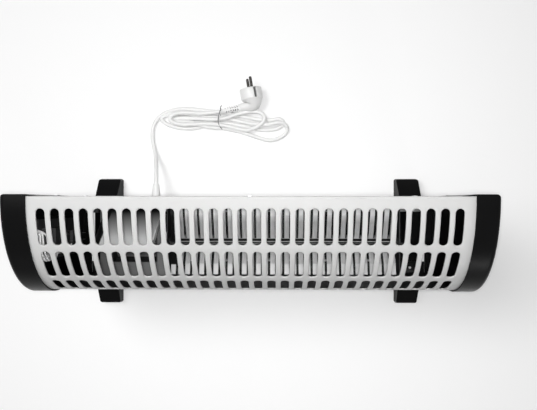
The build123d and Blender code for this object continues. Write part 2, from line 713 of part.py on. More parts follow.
wire_dia = 2.8
arch_z = pocket_z + 95
wire_x = 4.5 - casing_half
wire_pitch = 3.7
with BuildPart() as wire_loom:
    for count, end_z in enumerate((*switch_z.values(), dial_z)):
        x = wire_x + wire_pitch * count
        end_y = pocket_y - (16 if end_z == dial_z else switch_length / 2)
        add(wire([(x, 60, block_z[1]), (x, 60, 104), (x, 34.5, 130), (x, 34.5, arch_z), (x, -10, arch_z),
                  (x, -10, end_z), (x, end_y, end_z)], wire_dia, 4))
save(wire_loom.part, "wire_loom")
lead_dia = 7.0
gland_inner = 57.0
lead_x = 11 - casing_half
lead_z = (block_z[0] + block_z[1]) / 2
save(wire([(entry_x, gland_inner, entry_z), (entry_x, 38, entry_z), (lead_x, 38, entry_z), (lead_x, 38, lead_z),
           (lead_x, block_front, lead_z)], lead_dia, 5), "inner_lead")

# Cord gland in the back panel: a nut inside, a flange and a tapered sleeve outside
gland_end = 82.0
flange_end = back_y + 1.5
gland_root = 7.0
gland_nut = 10.0
with BuildPart() as cord_gland:
    with BuildSketch(Plane.XZ.offset(-gland_inner)):
        RegularPolygon(gland_root, few_sides)
    extrude(amount=gland_inner - panel_back)
    with BuildSketch(Plane.XZ.offset(sheet - panel_back)):
        RegularPolygon(gland_nut, few_sides)
    extrude(amount=5)
    with BuildSketch(Plane.XZ.offset(sheet - panel_back)):
        RegularPolygon(entry_hole - 0.1, more_sides)
    extrude(amount=-sheet)
    with BuildSketch(Plane.XZ.offset(-panel_back)):
        RegularPolygon(gland_nut, more_sides)
    extrude(amount=panel_back - flange_end)
    with BuildSketch(Plane.XZ.offset(-flange_end)):
        RegularPolygon(gland_root, more_sides)
    extrude(amount=flange_end - gland_end, taper=12)
save(cord_gland.part.moved(Location((entry_x, 0, entry_z))), "cord_gland")

# Free stretch of the cord, from the gland down to the floor and round to the hank
hank_start = (-138.0, 238.0, floor_z)
cord_route = [(entry_x, gland_end, entry_z), (entry_x, 98, entry_z), (-174, 115, 40), (-176.5, 132, 25),
              (-180, 148, 11.5), (-184, 163, floor_z), (-187.5, 178, floor_z), (-188, 194, floor_z),
              (-185, 209, floor_z), (-176, 222.5, floor_z), (-160, 233, floor_z), hank_start]
save(tube(cord_route, cord_dia), "power_cord")

# Hank: one tube that winds through three tied turns, as waist crossings and half turns
waist_x = -66.0
waist_y = 213.0
waist_low = 5.4
waist_step = 9.0
top_z = waist_low + cord_dia + 0.7
relief_start = (-59.3, 228.4, top_z)


def two_arcs(start, lead, end, tail):
    # Two tangent arcs from one place and direction to another, each as start, middle, end
    a = Vector(*start)
    b = Vector(*end)
    ta = Vector(*lead).normalized()
    tb = Vector(*tail).normalized()
    v = b - a
    along = v.dot(ta + tb)
    slack = 2 * (1 - ta.dot(tb))
    if slack < 1e-9:
        reach = v.dot(v) / (4 * v.dot(tb))
    else:
        reach = (-along + math.sqrt(along ** 2 + slack * v.dot(v))) / slack
    joint = (a + b + (ta - tb) * reach) / 2
    swing = ((b - tb * reach) - (a + ta * reach)).normalized()
    arcs = []
    for p, q, direction in ((a, joint, ta), (joint, b, swing)):
        chord = q - p
        line = chord.normalized()
        off = direction - line * direction.dot(line)
        half = math.atan2(off.length, direction.dot(line))
        if off.length < 1e-6:
            arcs.append((p, (p + q) / 2, q))
        else:
            arcs.append((p, (p + q) / 2 + off.normalized() * (chord.length / 2 * math.tan(half / 2)), q))
    return arcs


def half_turn(centre_x, centre_y, radius, side, z):
    # Entry, far point and exit of a turn at the hank's right (1) or left (-1) end
    return [((centre_x, centre_y + side * radius, z), (side, 0, 0)),
            ((centre_x + side * radius, centre_y, z), (0, -side, 0)),
            ((centre_x, centre_y - side * radius, z), (-side, 0, 0))]


heading_in = Vector(22, 5, 0).normalized()
heading_out = Vector(0.986, 0.169, 0).normalized()
hank_in = Vector(*hank_start) + heading_in * cord_dia
hank_out = Vector(*relief_start) - heading_out * cord_dia
hank_places = [(tuple(hank_in), tuple(heading_in)), ((waist_x, waist_y + 1.5 * waist_step, waist_low), (1, -0.06, 0))]
hank_places += half_turn(33, 196, 17.9, 1, floor_z)
hank_places += [((waist_x, waist_y - 1.5 * waist_step, waist_low), (-1, 0.02, 0))]
hank_places += half_turn(-152, 211, 15.5, -1, floor_z)
hank_places += [((waist_x, waist_y + 0.5 * waist_step, waist_low), (1, -0.08, 0))]
hank_places += half_turn(33, 196, 9.0, 1, floor_z)
hank_places += [((waist_x, waist_y - 0.5 * waist_step, waist_low), (-1, 0.04, 0))]
hank_places += half_turn(-144, 211, 7.2, -1, floor_z)
hank_places += [((-105, 214.4, 10.4), (1, -0.04, 0.12)), ((waist_x, waist_y, top_z), (1, 0.1, 0))]
hank_places += half_turn(-6, 207, 15.5, 1, top_z)
hank_places += [((waist_x, waist_y - 8.8, top_z), (-1, 0.02, 0))]
hank_places += half_turn(-144.5, 215.5, 10.5, -1, top_z)
hank_places += [((-104, 223.4, top_z), (1, -0.02, 0)), (tuple(hank_out), tuple(heading_out))]
hank_arcs = []
for (start, lead), (end, far) in zip(hank_places, hank_places[1:]):
    hank_arcs += two_arcs(start, lead, end, far)
with BuildPart() as cord_hank:
    with BuildLine() as hank_route:
        Line(hank_start, hank_in)
        for p, middle, q in hank_arcs:
            if (middle - (p + q) / 2).length < 1e-6:
                Line(p, q)
            else:
                ThreePointArc(p, middle, q)
        Line(hank_out, relief_start)
    with BuildSketch(Plane(hank_start, z_dir=heading_in)) as hank_section:
        RegularPolygon(cord_dia / 2, few_sides)
    sweep(path=hank_route.wires()[0])
hank_wire = hank_route.wires()[0]
hank_steps = int(hank_wire.length / 2)
hank_points = [hank_wire @ (n / hank_steps) for n in range(hank_steps + 1)]
hank_gap = min((p - q).length for n, p in enumerate(hank_points) for q in hank_points[n + 12:]) - cord_dia
print("hank length", round(hank_wire.length, 1), "least gap to itself", round(hank_gap, 2), "volume over section",
      round(cord_hank.part.volume / (hank_section.sketch.area * hank_wire.length), 4))
save(cord_hank.part, "cord_hank")

# Tie round the waist of the hank
tie_thick = 1.2
tie_room = 0.35
tie_low = waist_low - cord_dia / 2 - tie_room
tie_high = top_z + cord_dia / 2 + tie_room
tie_near = waist_y - 1.5 * waist_step - cord_dia / 2 - tie_room
tie_far = 231.4
with BuildPart() as cord_tie:
    with BuildSketch(Plane.YZ.offset(waist_x - 1.2)):
        with Locations(((tie_near + tie_far) / 2, (tie_low + tie_high) / 2)):
            Rectangle(tie_far - tie_near + 2 * tie_thick, tie_high - tie_low + 2 * tie_thick)
            Rectangle(tie_far - tie_near, tie_high - tie_low, mode=Mode.SUBTRACT)
        with Locations((tie_far, 8)):
            Rectangle(10, 1.4, align=(Align.MIN, Align.CENTER))
    extrude(amount=2.4)
save(cord_tie.part, "cord_tie")

# Plug lying on its side: round head with key grooves, tapered back, angled neck
pin_way = Vector(-0.169, 0.986, 0).normalized()
plug_side = heading_out
head_radius = 19.3
head_front = Vector(-13.5, 266.5, head_radius + 0.1)
head_depth = 18.0
back_depth = 15.5
pin_dia = 4.8
pin_length = 19.0
pin_spread = 19.0
pin_lean = 18.0
relief_length = 29.0
root = Vector(*relief_start) + heading_out * relief_length
relief_root = 7.0
relief_tip = 4.7
neck_depth = 29.0
neck_radius = 7.8
head_sides = 24
with BuildPart() as plug_body:
    with BuildSketch(Plane(head_front, x_dir=plug_side, z_dir=-pin_way)):
        RegularPolygon(head_radius, head_sides, rotation=180 / head_sides)
        with PolarLocations(head_radius, 2, start_angle=-90 + pin_lean):
            Rectangle(7, 5, mode=Mode.SUBTRACT)
    extrude(amount=head_depth)
    with BuildSketch(Plane(head_front - pin_way * head_depth, x_dir=plug_side, z_dir=-pin_way)):
        RegularPolygon(head_radius, head_sides, rotation=180 / head_sides)
    extrude(amount=back_depth, taper=31)
    neck_end = head_front - pin_way * neck_depth - plug_side * 3
    with BuildSketch(Plane(root, z_dir=heading_out)):
        RegularPolygon(neck_radius, more_sides)
    extrude(amount=(neck_end - root).length, dir=(neck_end - root).normalized())
save(plug_body.part, "plug_body")
with BuildPart() as plug_pins:
    lean = math.radians(pin_lean)
    for end in (-1, 1):
        seat = head_front + (plug_side * math.sin(lean) + Vector(0, 0, math.cos(lean))) * (end * pin_spread / 2)
        with BuildSketch(Plane(seat, z_dir=pin_way)):
            RegularPolygon(pin_dia / 2, more_sides)
        extrude(amount=pin_length)
    tips = plug_pins.faces().sort_by(Axis(origin=(0, 0, 0), direction=pin_way))[-2:]
    chamfer(tips.edges(), 1.2)
save(plug_pins.part, "plug_pins")
slit_count = 6
slit_pitch = 4.0
slit_width = 1.7
with BuildPart() as plug_relief:
    with BuildSketch(Plane(root, z_dir=-heading_out)):
        RegularPolygon(relief_root, more_sides)
    extrude(amount=relief_length, taper=math.degrees(math.atan((relief_root - relief_tip) / relief_length)))
    with BuildSketch(Plane(relief_start, x_dir=heading_out, z_dir=(0, 0, 1))):
        for n in range(slit_count):
            for side in (-1, 1):
                with Locations((3.0 + n * slit_pitch, side * (cord_dia / 2 + 0.3))):
                    Rectangle(slit_width, 6, align=(Align.MIN, Align.MIN if side > 0 else Align.MAX))
    extrude(amount=relief_root, both=True, mode=Mode.SUBTRACT)
save(plug_relief.part, "plug_relief")
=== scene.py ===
import bpy
import bmesh
import json
import math
from mathutils import Matrix, Vector


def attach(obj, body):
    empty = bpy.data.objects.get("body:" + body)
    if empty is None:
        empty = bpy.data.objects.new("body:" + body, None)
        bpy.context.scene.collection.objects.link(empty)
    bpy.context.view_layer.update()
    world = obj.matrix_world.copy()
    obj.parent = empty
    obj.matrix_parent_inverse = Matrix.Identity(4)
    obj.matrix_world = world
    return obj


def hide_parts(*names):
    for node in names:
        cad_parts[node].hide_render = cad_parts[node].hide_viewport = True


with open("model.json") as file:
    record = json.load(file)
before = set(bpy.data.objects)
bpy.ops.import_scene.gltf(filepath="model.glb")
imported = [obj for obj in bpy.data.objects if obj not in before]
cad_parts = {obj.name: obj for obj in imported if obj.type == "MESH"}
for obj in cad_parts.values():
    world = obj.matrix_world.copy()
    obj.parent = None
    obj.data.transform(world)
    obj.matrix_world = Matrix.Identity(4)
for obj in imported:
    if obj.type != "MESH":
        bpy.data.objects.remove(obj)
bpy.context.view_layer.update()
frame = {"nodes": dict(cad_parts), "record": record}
scene = bpy.context.scene
nodes = frame["nodes"]
# Settings are in millimetres and degrees where no comment says otherwise
mm = 0.001


# Small helpers shared by all the pieces

def newPiece(name, mesh, body="heater"):
    obj = bpy.data.objects.new(name, mesh)
    scene.collection.objects.link(obj)
    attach(obj, body)
    return obj


def meshFrom(bm, name, smoothAngle=35, turned=False):
    if not turned:
        bmesh.ops.recalc_face_normals(bm, faces=bm.faces)
    mesh = bpy.data.meshes.new(name)
    bm.to_mesh(mesh)
    bm.free()
    for face in mesh.polygons:
        face.use_smooth = True
    mesh.set_sharp_from_angle(angle=math.radians(smoothAngle))
    return mesh


def vertsOf(geometry):
    return [part for part in geometry if isinstance(part, bmesh.types.BMVert)]


def edgesOf(geometry):
    return [part for part in geometry if isinstance(part, bmesh.types.BMEdge)]


def curveThrough(name, routes, steps, sides):
    # One smooth spline through each route, given in millimetres, with its thickness still to be set
    curve = bpy.data.curves.new(name, "CURVE")
    curve.dimensions = "3D"
    for route in routes:
        spline = curve.splines.new("NURBS")
        spline.points.add(len(route) - 1)
        for point, place in zip(spline.points, route):
            point.co = (place[0] * mm, place[1] * mm, place[2] * mm, 1)
        spline.order_u = 3
        spline.use_endpoint_u = True
    curve.resolution_u = steps
    curve.bevel_resolution = sides
    curve.use_fill_caps = True
    obj = bpy.data.objects.new(name, curve)
    scene.collection.objects.link(obj)
    return obj


def paint(obj, material):
    if obj.data.materials:
        obj.data.materials.clear()
    obj.data.materials.append(material)


def plainShader(name, colour, roughness, metallic=0.0):
    material = bpy.data.materials.new(name)
    material.use_nodes = True
    shader = material.node_tree.nodes["Principled BSDF"]
    shader.inputs["Base Color"].default_value = (*colour, 1)
    shader.inputs["Roughness"].default_value = roughness
    shader.inputs["Metallic"].default_value = metallic
    return material, material.node_tree, shader


def addNoise(tree, scale, detail=3.0, roughness=0.5, stretch=None):
    coords = tree.nodes.new("ShaderNodeTexCoord")
    noise = tree.nodes.new("ShaderNodeTexNoise")
    noise.inputs["Scale"].default_value = scale
    noise.inputs["Detail"].default_value = detail
    noise.inputs["Roughness"].default_value = roughness
    if stretch:
        mapping = tree.nodes.new("ShaderNodeMapping")
        mapping.inputs["Scale"].default_value = stretch
        tree.links.new(coords.outputs["Object"], mapping.inputs["Vector"])
        tree.links.new(mapping.outputs["Vector"], noise.inputs["Vector"])
    else:
        tree.links.new(coords.outputs["Object"], noise.inputs["Vector"])
    return noise.outputs["Fac"]


def addRange(tree, value, low, high):
    mapped = tree.nodes.new("ShaderNodeMapRange")
    mapped.inputs["To Min"].default_value = low
    mapped.inputs["To Max"].default_value = high
    tree.links.new(value, mapped.inputs["Value"])
    return mapped.outputs["Result"]


def addBump(tree, shader, value, strength, distance):
    bump = tree.nodes.new("ShaderNodeBump")
    bump.inputs["Strength"].default_value = strength
    bump.inputs["Distance"].default_value = distance
    tree.links.new(value, bump.inputs["Height"])
    tree.links.new(bump.outputs["Normal"], shader.inputs["Normal"])


def addTint(tree, shader, value, dark, light):
    ramp = tree.nodes.new("ShaderNodeValToRGB")
    ramp.color_ramp.elements[0].color = (*dark, 1)
    ramp.color_ramp.elements[1].color = (*light, 1)
    tree.links.new(value, ramp.inputs["Fac"])
    tree.links.new(ramp.outputs["Color"], shader.inputs["Base Color"])


def addSpan(tree, value, start, end):
    # 0 below start and 1 above end, both in millimetres
    mapped = tree.nodes.new("ShaderNodeMapRange")
    mapped.inputs["From Min"].default_value = start * mm
    mapped.inputs["From Max"].default_value = end * mm
    tree.links.new(value, mapped.inputs["Value"])
    return mapped.outputs["Result"]


def addMost(tree, first, second):
    most = tree.nodes.new("ShaderNodeMath")
    most.operation = "MAXIMUM"
    tree.links.new(first, most.inputs[0])
    tree.links.new(second, most.inputs[1])
    return most.outputs[0]


def addPlaceMask(tree, axis, start, end):
    # 0 below start and 1 above end along one axis of the object's coordinates
    coords = tree.nodes.new("ShaderNodeTexCoord")
    parts = tree.nodes.new("ShaderNodeSeparateXYZ")
    tree.links.new(coords.outputs["Object"], parts.inputs[0])
    return addSpan(tree, parts.outputs[axis], start, end)


def addAxisMask(tree, y, z, near, far):
    # 0 within near and 1 beyond far of a line along x at y, z
    coords = tree.nodes.new("ShaderNodeTexCoord")
    flat = tree.nodes.new("ShaderNodeVectorMath")
    flat.operation = "MULTIPLY"
    flat.inputs[1].default_value = (0, 1, 1)
    tree.links.new(coords.outputs["Object"], flat.inputs[0])
    away = tree.nodes.new("ShaderNodeVectorMath")
    away.operation = "DISTANCE"
    away.inputs[1].default_value = (0, y * mm, z * mm)
    tree.links.new(flat.outputs[0], away.inputs[0])
    return addSpan(tree, away.outputs["Value"], near, far)


def addBoxMask(tree, centre, half, soft):
    # 0 inside a box and 1 outside it in the object's coordinates, with None for an endless side
    coords = tree.nodes.new("ShaderNodeTexCoord")
    away = tree.nodes.new("ShaderNodeVectorMath")
    away.operation = "SUBTRACT"
    away.inputs[1].default_value = [c * mm for c in centre]
    tree.links.new(coords.outputs["Object"], away.inputs[0])
    size = tree.nodes.new("ShaderNodeVectorMath")
    size.operation = "ABSOLUTE"
    tree.links.new(away.outputs[0], size.inputs[0])
    parts = tree.nodes.new("ShaderNodeSeparateXYZ")
    tree.links.new(size.outputs[0], parts.inputs[0])
    sides = [addSpan(tree, parts.outputs[axis], reach - soft, reach)
             for axis, reach in enumerate(half) if reach is not None]
    outside = sides[0]
    for side in sides[1:]:
        outside = addMost(tree, outside, side)
    return outside


def tintWhere(material, addMask, place, grey):
    # Lays a plain grey over a finish where the mask is 0
    tree = material.node_tree
    colour = tree.nodes["Principled BSDF"].inputs["Base Color"]
    source = colour.links[0].from_socket
    mix = tree.nodes.new("ShaderNodeMix")
    mix.data_type = "RGBA"
    tree.links.new(addMask(tree, *place), mix.inputs["Factor"])
    mix.inputs["A"].default_value = (grey, grey, grey, 1)
    tree.links.new(source, mix.inputs["B"])
    tree.links.new(mix.outputs["Result"], colour)


# Finishes

def whiteEnamel():
    material, tree, shader = plainShader("whiteEnamel", (0.75, 0.75, 0.745), 0.34)
    shader.inputs["Specular IOR Level"].default_value = 0.14
    addTint(tree, shader, addNoise(tree, 9, 2), (0.47, 0.47, 0.467), (0.49, 0.49, 0.486))
    tree.links.new(addRange(tree, addNoise(tree, 60, 4), 0.42, 0.52), shader.inputs["Roughness"])
    addBump(tree, shader, addNoise(tree, 900, 2), 0.06, 0.0004)
    return material


def blackMoulding():
    material, tree, shader = plainShader("blackMoulding", (0.005, 0.005, 0.005), 0.4)
    shader.inputs["Specular IOR Level"].default_value = 0.045
    addTint(tree, shader, addNoise(tree, 25, 3), (0.0015, 0.0015, 0.0016), (0.004, 0.004, 0.0042))
    tree.links.new(addRange(tree, addNoise(tree, 140, 4), 0.27, 0.37), shader.inputs["Roughness"])
    addBump(tree, shader, addNoise(tree, 1600, 2), 0.12, 0.0003)
    return material


def metalSheet(name, dark, light, low, high, stretch=(1, 14, 14), metallic=0.9):
    material, tree, shader = plainShader(name, light, low, metallic)
    grain = addNoise(tree, 90, 5, 0.6, stretch)
    addTint(tree, shader, grain, dark, light)
    tree.links.new(addRange(tree, grain, low, high), shader.inputs["Roughness"])
    addBump(tree, shader, grain, 0.08, 0.0003)
    return material


def moulding(name, dark, light, roughness, grain=700, depth=0.1):
    material, tree, shader = plainShader(name, light, roughness)
    addTint(tree, shader, addNoise(tree, 40, 3), dark, light)
    gloss = addRange(tree, addNoise(tree, 160, 3), roughness - 0.05, roughness + 0.06)
    tree.links.new(gloss, shader.inputs["Roughness"])
    addBump(tree, shader, addNoise(tree, grain, 2), depth, 0.0002)
    return material


enamel = whiteEnamel()
# Near black for the insides of the casing and the parts deep in it: partly a dark finish, partly painted
# shade
insideDarkAndShade = moulding("insideDarkAndShade", (0.004, 0.004, 0.004), (0.008, 0.008, 0.008), 0.6, 500, 0.1)
blackPlastic = blackMoulding()
plainSteel = metalSheet("plainSteel", (0.4, 0.4, 0.41), (0.6, 0.6, 0.61), 0.3, 0.45)
brightFin = metalSheet("brightFin", (0.34, 0.34, 0.34), (0.96, 0.96, 0.96), 0.26, 0.38, (14, 1, 1), 0.1)
wheelSheet = metalSheet("wheelSheet", (0.2, 0.2, 0.2), (0.3, 0.3, 0.3), 0.3, 0.42, (14, 1, 1), 0.5)
guideSheet = metalSheet("guideSheet", (0.92, 0.92, 0.92), (0.97, 0.97, 0.97), 0.35, 0.5, metallic=0.05)
shelfSheet = metalSheet("shelfSheet", (0.08, 0.08, 0.08), (0.13, 0.13, 0.13), 0.35, 0.5, metallic=0.3)
bracketSheet = metalSheet("bracketSheet", (0.03, 0.03, 0.03), (0.06, 0.06, 0.06), 0.35, 0.5, metallic=0.3)
sheath = metalSheet("rodSheath", (0.02, 0.02, 0.02), (0.04, 0.04, 0.04), 0.3, 0.4, metallic=0.2)
darkPlastic = moulding("darkMoulding", (0.02, 0.02, 0.021), (0.03, 0.03, 0.031), 0.45)
knobPlastic = moulding("knobMoulding", (0.02, 0.02, 0.021), (0.03, 0.03, 0.031), 0.4)
copperTape = moulding("coilTape", (0.38, 0.2, 0.08), (0.5, 0.28, 0.12), 0.5)
whiteSheath = moulding("whiteSheath", (0.78, 0.78, 0.775), (0.82, 0.82, 0.815), 0.42, 1400, 0.1)
whitePlug = moulding("whitePlug", (0.74, 0.74, 0.735), (0.78, 0.78, 0.775), 0.36, 1100, 0.1)
pinMetalAndSlitShade = metalSheet("pinMetalAndSlitShade", (0.012, 0.01, 0.009), (0.03, 0.026, 0.022), 0.3, 0.45, (1, 1, 1), 0.4)
grooveShade = moulding("grooveShade", (0.1, 0.1, 0.1), (0.14, 0.14, 0.14), 0.4)
greyTie = moulding("greyTie", (0.1, 0.1, 0.1), (0.16, 0.16, 0.16), 0.5)

# Tones painted over the finishes, later ones on top: on the fins and the air guide they are painted shade and
# painted highlights that the photograph shows from above, not the real metal's colour, and the knob has its
# pointer
xAxis = 0
zAxis = 2
shadeHighlightAndPointerSet = (
    # Painted shade: the fins go near black below 116 to 124 mm height, under the rod
    (brightFin, addPlaceMask, (zAxis, 116, 124), 0.01),
    # Painted shade: near black within 10 to 11 mm of the rod's line, over the fins' clasp
    (brightFin, addAxisMask, (2, 130, 10.0, 11.0), 0.01),
    # Painted highlight: a thin light grey line along the top of the clasp
    (brightFin, addAxisMask, (5.2, 133.8, 0.7, 1.4), 0.8),
    # Painted highlight: the rear fins' upper tips go white
    (brightFin, addAxisMask, (54, 160, 7.0, 20.0), 1.0),
    # Painted light: an even light grey on the front fins' bent tips
    (brightFin, addAxisMask, (-37, 154, 8.0, 9.0), 0.66),
    # Painted shade: the fins' left end, X -153 to -121, goes near black
    (brightFin, addBoxMask, ((-137, 20, 150), (16, 50, 40), 0.5), 0.01),
    # Painted shade: the air guide goes near black below 200 to 262 mm height
    (guideSheet, addPlaceMask, (zAxis, 200, 262), 0.008),
    # Painted shade: the air guide's left end, left of X -213, goes near black
    (guideSheet, addPlaceMask, (xAxis, -213, -211.5), 0.01),
    (knobPlastic, addBoxMask, ((-300, 15, 297), (None, 0.7, 6), 0.2), 0.7),
)
for tone in shadeHighlightAndPointerSet:
    tintWhere(*tone)

nodesOf = (
    (enamel, "front_casing", "back_panel"),
    (insideDarkAndShade, "bottom_grille", "blower_housing"),
    (blackPlastic, "left_end_cap", "right_end_cap", "left_foot", "right_foot", "cord_gland"),
    (plainSteel, "foot_screws", "back_screws", "motor_core", "motor_brackets", "motor_rotor",
     "thermostat_spindle"),
    (brightFin, "rear_fins", "front_fins"),
    (sheath, "heater_rod_left", "heater_rod_right"),
    (bracketSheet, "left_bracket", "right_bracket"),
    (guideSheet, "air_guide"),
    (shelfSheet, "blower_shelf"),
    (wheelSheet, "blower_wheel"),
    (copperTape, "motor_coil"),
    (darkPlastic, "rod_spacer", "rod_bushes", "overheat_cutout", "control_plate", "thermostat_body",
     "terminal_block", "low_heat_switch", "high_heat_switch", "fan_switch", "low_heat_rocker",
     "high_heat_rocker", "fan_rocker"),
    (knobPlastic, "thermostat_knob"),
    (whiteSheath, "wire_loom", "inner_lead"),
    (greyTie, "cord_tie"),
    (whitePlug, "plug_body", "plug_relief"),
    (pinMetalAndSlitShade, "plug_pins"),
)
finishes = {nodeName: finish for finish, *names in nodesOf for nodeName in names}
for nodeName, finish in finishes.items():
    paint(nodes[nodeName], finish)

# The back panel's inner side is near black, as the casing's is: partly its own dark finish, partly painted
# shade
backPanel = nodes["back_panel"].data
backPanel.materials.append(insideDarkAndShade)
for face in backPanel.polygons:
    if face.normal.y < -0.5:
        face.material_index = 1
print("finishes set on", len(finishes), "nodes")


# Front casing: one enamelled sheet with drawn-in slots, worked flat and then bent

casingSet = {"halfLength": 285.0, "backY": 73.0, "radius": 126.5, "arcZ": 271.2, "bottomZ": 36.0,
             "backBend": 1.5, "flangeLow": 385.7, "footBend": 1.6, "flangeReach": 20.0, "sheet": 0.9,
             "pitch": 17.5, "count": 30, "width": 10.8, "slotLength": 48.4, "rows": (39.4, 97.0, 154.6),
             "draw": 1.3, "drawSteps": 4, "lip": 2.1, "sideSteps": 10, "rimSideSteps": 7, "endSteps": 8,
             "bendSteps": 3, "seam": 125.8, "seamDepth": 0.3, "near": 0.01, "crownZ": 390, "smooth": 50}


def bendCasing(bm):
    # x stays, y is the way along the sheet from its back edge, z is the height over the outer face
    s = casingSet
    quarter = s["radius"] * math.pi / 2
    backTurn = s["backBend"] * math.pi / 2
    frontY = s["backY"] - s["radius"]
    straight = s["arcZ"] - s["bottomZ"] - s["footBend"]
    footTurn = s["footBend"] * math.pi / 2
    for v in bm.verts:
        along, rise = v.co.y, v.co.z
        if along < s["backBend"] - backTurn:
            y = s["backY"] + rise
            z = s["arcZ"] + s["radius"] - s["backBend"] + along - s["backBend"] + backTurn
        elif along < s["backBend"]:
            turn = (s["backBend"] - along) / s["backBend"]
            reach = s["backBend"] + rise
            y = s["backY"] - s["backBend"] + reach * math.sin(turn)
            z = s["arcZ"] + s["radius"] - s["backBend"] + reach * math.cos(turn)
        elif along < quarter:
            turn = along / s["radius"]
            reach = s["radius"] + rise
            y, z = s["backY"] - reach * math.sin(turn), s["arcZ"] + reach * math.cos(turn)
        elif along < quarter + straight:
            y, z = frontY - rise, s["arcZ"] - (along - quarter)
        elif along < quarter + straight + footTurn:
            turn = (along - quarter - straight) / s["footBend"]
            reach = s["footBend"] + rise
            y = frontY + s["footBend"] - reach * math.cos(turn)
            z = s["bottomZ"] + s["footBend"] - reach * math.sin(turn)
        else:
            y = frontY + s["footBend"] + along - quarter - straight - footTurn
            z = s["bottomZ"] - rise
        v.co = (v.co.x * mm, y * mm, z * mm)


def slotCell(bm, height):
    # One slot in its share of the sheet, with the rim drawn in towards the inside
    s = casingSet
    half = (s["slotLength"] - s["width"]) / 2
    around = 2 * (s["sideSteps"] + s["endSteps"] - s["rimSideSteps"])
    rim = bmesh.ops.create_circle(bm, segments=around, radius=s["width"] / 2 + s["draw"])["verts"]
    bmesh.ops.rotate(bm, verts=rim, cent=(0, 0, 0), matrix=Matrix.Rotation(math.pi / around, 3, "Z"))
    for v in rim:
        v.co.y += half if v.co.y > 0 else -half
    sides = [e for e in bm.edges if e.verts[0].co.y * e.verts[1].co.y < 0]
    bmesh.ops.subdivide_edges(bm, edges=sides, cuts=s["rimSideSteps"])
    rimEdges = list(bm.edges)
    grid = bmesh.ops.create_grid(bm, x_segments=s["endSteps"], y_segments=s["sideSteps"], size=1)["verts"]
    for v in grid:
        v.co.x *= s["pitch"] / 2
        v.co.y *= height / 2
    bmesh.ops.delete(bm, geom=[v for v in grid if not v.is_boundary], context="VERTS")
    bmesh.ops.delete(bm, geom=list(bm.faces), context="FACES_ONLY")
    outerEdges = [e for e in bm.edges if e not in rimEdges and e.is_wire]
    bmesh.ops.bridge_loops(bm, edges=rimEdges + outerEdges)
    rimLoop = rimEdges
    for k in range(1, s["drawSteps"] + 2):
        out = bmesh.ops.extrude_edge_only(bm, edges=rimLoop)["geom"]
        rimLoop = edgesOf(out)
        turn = min(k, s["drawSteps"]) / s["drawSteps"] * math.pi / 2
        reach = s["width"] / 2 + s["draw"] * (1 - math.sin(turn))
        depth = -s["draw"] * (1 - math.cos(turn)) if k <= s["drawSteps"] else -s["lip"]
        for v in vertsOf(out):
            axis = Vector((0, max(-half, min(half, v.co.y)), 0))
            away = Vector((v.co.x, v.co.y, 0)) - axis
            v.co = axis + away.normalized() * reach + Vector((0, 0, depth))


def rimAlong(bm, axis, level):
    # The open edges of the flat sheet that lie at one place along an axis
    return [e for e in bm.edges
            if e.is_boundary and all(abs(v.co[axis] - level) < casingSet["near"] for v in e.verts)]


def makeCasing():
    s = casingSet
    bm = bmesh.new()
    height = s["rows"][1] - s["rows"][0]
    slotCell(bm, height)
    cell = list(bm.verts) + list(bm.edges) + list(bm.faces)
    for row in s["rows"]:
        for k in range(s["count"]):
            copy = bmesh.ops.duplicate(bm, geom=cell)["geom"]
            place = ((k - (s["count"] - 1) / 2) * s["pitch"], row, 0)
            bmesh.ops.translate(bm, verts=vertsOf(copy), vec=place)
    bmesh.ops.delete(bm, geom=vertsOf(cell), context="VERTS")
    bmesh.ops.remove_doubles(bm, verts=bm.verts, dist=0.001)
    quarter = s["radius"] * math.pi / 2
    straight = s["arcZ"] - s["bottomZ"] - s["footBend"]
    footTurn = s["footBend"] * math.pi / 2
    end = quarter + straight + footTurn + s["flangeReach"] - s["footBend"]
    top = s["rows"][0] - height / 2
    low = s["rows"][-1] + height / 2
    backTurn = s["backBend"] * math.pi / 2
    upward = [(top + s["backBend"]) / 2, s["backBend"]]
    upward += [s["backBend"] - backTurn * (k + 1) / s["bendSteps"] for k in range(s["bendSteps"])]
    upward += [s["backBend"] - backTurn - (s["arcZ"] + s["radius"] - s["backBend"] - s["flangeLow"])]
    downward = [(low + quarter) / 2, quarter, quarter + straight / 2, quarter + straight]
    downward += [quarter + straight + footTurn * (k + 1) / s["bendSteps"] for k in range(s["bendSteps"])]
    downward.append(end)
    for level, places in ((top, upward), (low, downward)):
        edge = rimAlong(bm, 1, level)
        for place in places:
            out = bmesh.ops.extrude_edge_only(bm, edges=edge)["geom"]
            edge = edgesOf(out)
            for v in vertsOf(out):
                v.co.y = place
    side = s["pitch"] * s["count"] / 2
    for way in (-1, 1):
        out = bmesh.ops.extrude_edge_only(bm, edges=rimAlong(bm, 0, way * side))["geom"]
        for v in vertsOf(out):
            v.co.x = way * s["halfLength"]
    for v in bm.verts:
        if abs(v.co.y - s["seam"]) < s["near"]:
            v.co.z -= s["seamDepth"]
    bendCasing(bm)
    bmesh.ops.recalc_face_normals(bm, faces=bm.faces)
    if sum(f.normal.z for f in bm.faces if f.calc_center_median().z > s["crownZ"] * mm) < 0:
        bmesh.ops.reverse_faces(bm, faces=bm.faces)
    mesh = meshFrom(bm, "frontCasing", s["smooth"], turned=True)
    obj = newPiece("frontCasing", mesh)
    paint(obj, enamel)
    wall = obj.modifiers.new("wall", "SOLIDIFY")
    wall.thickness = s["sheet"] * mm
    wall.offset = -1
    # Its inner side is near black: partly a dark finish, partly painted shade
    obj.data.materials.append(insideDarkAndShade)
    wall.material_offset = 1
    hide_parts("front_casing")
    print("casing faces", len(mesh.polygons))


makeCasing()


# CAD nodes that only need their edges rounded: a merged copy with a live bevel

